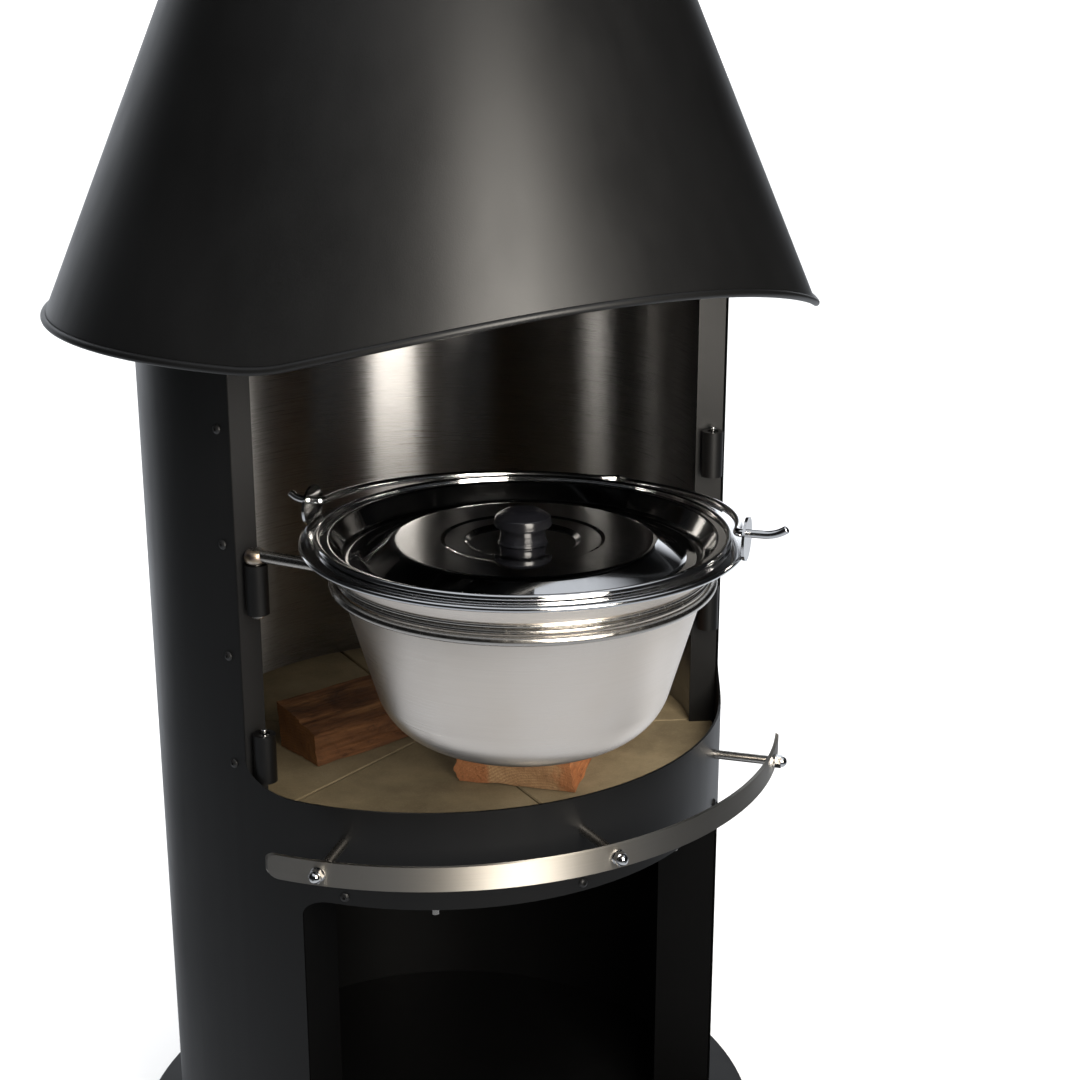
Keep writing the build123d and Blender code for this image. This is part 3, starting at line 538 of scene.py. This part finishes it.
def make_hood():
    """Cone between the arched edge and the flue, with its rows crowded near the edge, and its rolled hem."""
    bm = bmesh.new()
    grid = []
    for i in range(HOOD_COLUMNS):
        edge = hood_edge(2 * pi * i / HOOD_COLUMNS)
        top = Vector((edge.x, edge.y, 0)).normalized() * FLUE_R
        top.z = HOOD_TOP
        steps = [(k / HOOD_ROWS) ** ROW_CROWDING for k in range(HOOD_ROWS + 1)]
        grid.append([bm.verts.new(edge.lerp(top, step)) for step in steps])
    for i in range(HOOD_COLUMNS):
        a, b = grid[i], grid[(i + 1) % HOOD_COLUMNS]
        for k in range(HOOD_ROWS):
            bm.faces.new((a[k], b[k], b[k + 1], a[k + 1]))
    mesh = mesh_from(bm, "hood_skin")
    skin = new_object("hood_skin", mesh, PAINT_HOOD, "hood", ("hood",))
    thick = skin.modifiers.new("sheet", "SOLIDIFY")
    thick.thickness = HOOD_T
    thick.offset = -1
    rim = [hood_edge(2 * pi * i / HEM_POINTS) for i in range(HEM_POINTS)]
    rod_ring("hood_rolled_hem", rim, HEM_R, PAINT_HOOD, "hood", ("hood_hem",))


# ---------------------------------------------------------------- pot, lid and knob
POT_SLOPE = 0.2955
POT_T = 1.2 * MM
SEAT_Z = RING_Z + 1 * MM                                  # where the wall meets the carrying ring
SEAT_R = 135.6 * MM
POT_FOOT_ROUND = 50 * MM
POT_BEADS = ((4.6 * MM, 1.9 * MM), (9.2 * MM, 1.5 * MM))  # (height over the seat, radius)
BEAD_BAND = (2.6 * MM, 11 * MM)
BELT_TOP = 12 * MM
FLANGE_DROP = 1.5 * MM
FLANGE_ROUND = 3 * MM
POT_RIM_R = size_of("pot").x / 2
RIM_ROLL = 2 * MM
FLANGE_FINISH, BEAD_FINISH = 1, 2

LID_BEAD = 2.2 * MM
LID_T = 1.2 * MM
LID_LIFT = 0.05 * MM
LID_FLANGE = (142, 2.5)                                   # inner radius and corner radius, mm
# (radius, height over the recess, corner radius) in mm, from the channel inwards to the screw hole
LID_TOP = ((131.6, -8.9, 8), (119, -7.8, 12), (96, 3.8, 18), (60.5, 3.8, 1.5), (57.5, 2.8, 1.5),
           (43, 2.8, 1.5), (39, 0, 1.5), (3.1, 0, 0))
KNOB_OUTLINE = ((0, 0.1, 0), (19, 0.1, 0.6), (17.2, 2.4, 1.2), (16.5, 8, 6), (17.2, 12.2, 1.5),
                (21.5, 13.2, 1.6), (20.6, 20, 3.5), (12, 25.4, 14), (0, 25.9, 0))


def wall(z):
    """Outer radius of the pot's wall at a height."""
    return SEAT_R + POT_SLOPE * (z - SEAT_Z)


def make_pot():
    """Spun pot: rounded foot, sloping wall with two beads over the ring, and a flange with a rolled rim."""
    foot, lip = POT_FOOT, RIM_Z
    flange = lip - FLANGE_DROP
    below, above = SEAT_Z + 2 * MM, SEAT_Z + BELT_TOP
    outside = rounded([(0, foot, 0), (wall(foot), foot, POT_FOOT_ROUND), (wall(below), below, 0)], 24)
    for height, size in POT_BEADS:
        outside += arc(wall(SEAT_Z + height), SEAT_Z + height, size, -78, 82, 10)
    outside += rounded([(wall(above), above, 0), (wall(flange), flange, FLANGE_ROUND),
                        (POT_RIM_R - FLANGE_ROUND, flange, 0)], 6)
    outside += arc(POT_RIM_R - RIM_ROLL, lip - RIM_ROLL, RIM_ROLL, -120, 90, 12)
    step = POT_T * sqrt(1 + POT_SLOPE ** 2)
    floor = foot + POT_T
    inside = rounded([(wall(flange) + 1.5 * MM, lip, 0), (wall(lip) - step, lip, FLANGE_ROUND),
                      (wall(floor) - step, floor, POT_FOOT_ROUND - 1 * MM), (0, floor, 0)], 20)
    mesh = lathe("pot_bowl", [(r, z - foot) for r, z in outside + inside], closed=False)
    place = (POT_AXIS.x, POT_AXIS.y, foot)
    bowl = new_object("pot_bowl", mesh, POT_BRUSH, "pot", ("pot",), place)
    mesh.materials.append(BRIGHT)
    mesh.materials.append(RING_BRUSH)
    for face in mesh.polygons:
        middle = face.center
        radius = Vector(middle[:2]).length
        if middle.z > flange - foot - 2 * MM and radius > wall(flange) - 2 * MM:
            face.material_index = FLANGE_FINISH
        elif BEAD_BAND[0] < middle.z - (SEAT_Z - foot) < BEAD_BAND[1]:
            face.material_index = BEAD_FINISH
    crease(bowl, 55)


def make_lid():
    """Spun lid: rolled edge on the pot's flange, a channel, a raised ring and a recess with the knob."""
    reach = size_of("lid").x / 2 - LID_BEAD
    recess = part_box("lid_knob")[0][2] - LID_LIFT
    bead_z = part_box("lid")[1][2] - LID_BEAD - recess
    lip = bead_z - 1 * MM
    flange_r, flange_round = LID_FLANGE
    dish = [(r * MM, z * MM, corner * MM) for r, z, corner in LID_TOP]
    upper = rounded([(reach, lip, 0), (flange_r * MM, lip, flange_round * MM), *dish], 10)
    bead = arc(reach, bead_z, LID_BEAD, -95, 200, 22)
    lower = [(r, z - LID_T) for r, z in reversed(upper) if r < reach - 1 * MM]
    place = (POT_AXIS.x, POT_AXIS.y, recess)
    mesh = lathe("lid_dish", [*bead, *upper[1:], *lower], segments=320)
    cover = new_object("lid_dish", mesh, MIRROR, "lid", ("lid",), place)
    crease(cover, 60)

    outline = [(r * MM, z * MM) for r, z in rounded(KNOB_OUTLINE, 7)]
    mesh = lathe("knob_cap", outline, segments=96, closed=False)
    cap = new_object("knob_cap", mesh, KNOB, "lid", ("lid_knob",), place)
    crease(cap, 50)


# ---------------------------------------------------------------- hearth tiles and logs
TILE_WEAR = 0.8 * MM
LOG_ROWS, LOG_WRAPS = 90, 12
LOG_LIFT = 0.05 * MM
LEAST_DEPTH, LEAST_HEIGHT, END_NUDGE = 0.15, 0.2, 1.3   # mm


def make_tiles():
    """The CAD tiles keep their meshes and get softly worn edges."""
    for number in range(1, 7):
        tile = frame["nodes"][f"hearth_tile_{number}"]
        bevel = tile.modifiers.new("worn_edge", "BEVEL")
        bevel.width = TILE_WEAR
        bevel.segments = 2
        bevel.limit_method = "ANGLE"


def grain_noise(x, p, along, across, seed):
    """Noise drawn out along the grain; both scales are per millimetre."""
    return noise.noise(Vector((x * along, p.x * across, p.y * across)) + seed)


def make_log(name, corner, along, length, outline, replaced, wood, sawn):
    """Split log: an outline of (across, up) points in mm drawn along the grain, torn and knocked.

    corner is its place on the hearth in metres, along the angle of its grain in degrees, length in mm.
    """
    loop = []
    count = len(outline)
    for i in range(count):
        a, b = Vector(outline[i]), Vector(outline[(i + 1) % count])
        loop += [a.lerp(b, k / LOG_WRAPS) for k in range(LOG_WRAPS)]
    total = len(loop)
    middle = sum((Vector(p) for p in outline), Vector((0, 0))) / count
    seed = Vector((corner[0] * 50, corner[1] * 50, 3.0))
    bm = bmesh.new()
    rings = []
    for row in range(LOG_ROWS + 1):
        x = length * row / LOG_ROWS
        into_log = {0: 1, LOG_ROWS: -1}.get(row, 0)
        ring = []
        for p in loop:
            inward = (middle - p).normalized()
            fibre = abs(grain_noise(x, p, 0.012, 0.16, seed))
            torn = grain_noise(x, p, 0.05, 0.6, seed)
            ridge = max(grain_noise(x, p, 0.004, 0.34, seed * 2), 0)
            depth = 1.1 + 2.0 * fibre + 0.9 * torn + 1.3 * ridge
            q = p + inward * max(depth, LEAST_DEPTH)
            knock = noise.noise(Vector((p.x * 0.09, p.y * 0.09, row > LOG_ROWS / 2)) + seed)
            end = x + into_log * max(knock, 0) * END_NUDGE
            ring.append(bm.verts.new((end * MM, q.x * MM, max(q.y, LEAST_HEIGHT) * MM)))
        rings.append(ring)
    for a, b in zip(rings, rings[1:]):
        for k in range(total):
            m = (k + 1) % total
            bm.faces.new((a[k], a[m], b[m], b[k]))
    for ring in (rings[0], rings[-1]):
        x = sum(v.co.x for v in ring) / total
        hub = bm.verts.new((x, middle.x * MM, middle.y * MM))
        inner = [bm.verts.new(v.co.lerp(hub.co, 0.5)) for v in ring]
        for k in range(total):
            m = (k + 1) % total
            for face in (bm.faces.new((ring[k], ring[m], inner[m], inner[k])),
                         bm.faces.new((inner[k], inner[m], hub))):
                face.material_index = 1
    mesh = mesh_from(bm, name)
    log = new_object(name, mesh, wood, "body", (replaced,), (*corner, TILE_TOP + LOG_LIFT),
                     (0, 0, radians(along)))
    mesh.materials.append(sawn)
    crease(log, 50)


# ---------------------------------------------------------------- light, floor and camera
FLOOR_HALF = 15
FLOOR_DROP = 0.2 * MM
KEY_PLACE, KEY_TARGET = (-0.09, -1.10, 1.07), (-0.03, 0, 0.85)
KEY_SIZE, KEY_POWER, KEY_TONE = (0.45, 0.95), 22, (1.0, 0.94, 0.85)
WASH_HEIGHT, WASH_SIDE, WASH_POWER = 8, 60, 16500
CAMERA_PLACE = (-0.6795, -1.3850, SILL + 0.6182)
CAMERA_TILT, CAMERA_TURN, CAMERA_LENS = 72.87, -29.42, 61.31


def make_floor():
    """Pale floor just under the base; reflections don't show it."""
    mesh = bpy.data.meshes.new("studio_floor")
    bm = bmesh.new()
    bmesh.ops.create_grid(bm, x_segments=1, y_segments=1, size=FLOOR_HALF)
    bm.to_mesh(mesh)
    bm.free()
    mesh.materials.append(pale_floor())
    floor = bpy.data.objects.new("studio_floor", mesh)
    bpy.context.scene.collection.objects.link(floor)
    floor.location.z = -FLOOR_DROP
    floor.visible_glossy = False


def soft_box(name, place, target, width, height, power, tone=(1, 1, 1)):
    """Rectangular area light at a place, turned to its target and hidden from the camera."""
    light = bpy.data.lights.new(name, "AREA")
    light.shape = "RECTANGLE"
    light.size, light.size_y = width, height
    light.energy = power
    light.color = tone
    holder = bpy.data.objects.new(name, light)
    bpy.context.scene.collection.objects.link(holder)
    holder.location = place
    holder.rotation_euler = (Vector(target) - Vector(place)).to_track_quat("-Z", "Y").to_euler()
    holder.visible_camera = False
    return holder


def make_studio():
    """A dark room with a white backdrop behind the object; what the camera sees of it is plain white."""
    world = bpy.data.worlds.new("studio")
    bpy.context.scene.world = world
    world.use_nodes = True
    tree = world.node_tree
    tree.nodes.clear()

    def put(kind, **values):
        node = tree.nodes.new(kind)
        for key, value in values.items():
            setattr(node, key, value)
        return node

    def glow(source, start, full, strength, least=0.0):
        """Brightness that grows smoothly from least at start to strength at full."""
        node = put("ShaderNodeMapRange", interpolation_type="SMOOTHSTEP")
        tree.links.new(source, node.inputs["Value"])
        settings = {"From Min": start, "From Max": full, "To Min": least, "To Max": strength}
        for key, number in settings.items():
            node.inputs[key].default_value = number
        return node.outputs["Result"]

    def brighter(a, b):
        node = put("ShaderNodeMath", operation="MAXIMUM")
        tree.links.new(a, node.inputs[0])
        tree.links.new(b, node.inputs[1])
        return node.outputs[0]

    direction = put("ShaderNodeTexCoord").outputs["Generated"]

    def towards(heading):
        node = put("ShaderNodeVectorMath", operation="DOT_PRODUCT")
        tree.links.new(direction, node.inputs[0])
        node.inputs[1].default_value = heading
        return node.outputs["Value"]

    height = put("ShaderNodeSeparateXYZ")
    tree.links.new(direction, height.inputs[0])
    behind = glow(towards((0.30, 0.95, 0.0)), 0.76, 0.90, 1.5)
    below = glow(height.outputs[2], -0.15, -0.8, 0.6, least=0.012)
    above = glow(height.outputs[2], 0.64, 0.88, 0.75)
    beside = glow(towards((0.786, 0.318, -0.530)), 0.86, 0.97, 0.88)
    room = brighter(brighter(behind, below), brighter(above, beside))
    seen = put("ShaderNodeLightPath").outputs["Is Camera Ray"]
    tint = put("ShaderNodeMix", data_type="RGBA")
    tree.links.new(seen, tint.inputs[0])
    tint.inputs[6].default_value = (0.90, 0.94, 1.0, 1)
    tint.inputs[7].default_value = (1, 1, 1, 1)
    shine = put("ShaderNodeBackground")
    tree.links.new(tint.outputs[2], shine.inputs["Color"])
    tree.links.new(brighter(room, seen), shine.inputs["Strength"])
    tree.links.new(shine.outputs[0], put("ShaderNodeOutputWorld").inputs[0])

    soft_box("key_strip", KEY_PLACE, KEY_TARGET, *KEY_SIZE, KEY_POWER, KEY_TONE)
    wash = soft_box("floor_wash", (0, 0, WASH_HEIGHT), (0, 0, 0), WASH_SIDE, WASH_SIDE, WASH_POWER)
    wash.visible_glossy = False
    bpy.context.scene.view_settings.view_transform = "Standard"


def make_camera():
    camera = bpy.data.cameras.new("camera")
    camera.lens = CAMERA_LENS
    camera.sensor_width = 36
    camera.clip_end = 60
    holder = bpy.data.objects.new("camera", camera)
    bpy.context.scene.collection.objects.link(holder)
    holder.location = CAMERA_PLACE
    holder.rotation_euler = (radians(CAMERA_TILT), 0, radians(CAMERA_TURN))
    bpy.context.scene.camera = holder


# ---------------------------------------------------------------- the scene
LEFT_SPLIT = ((0, 0), (60, 0), (65, 42), (34, 38), (4, 28))
RIGHT_SPLIT = ((0, 0), (103, 0), (108, 12), (99, 36), (56, 48), (6, 35))

make_camera()
make_hood()
make_pot()
make_lid()
make_tiles()
make_log("split_log_left", (-0.131, -0.025), 11, 180, LEFT_SPLIT, "log_left", WOOD_LEFT, END_LEFT)
make_log("split_log_right", (0.036, -0.178), 47.5, 175, RIGHT_SPLIT, "log_right", WOOD_RIGHT, END_RIGHT)
make_floor()
make_studio()
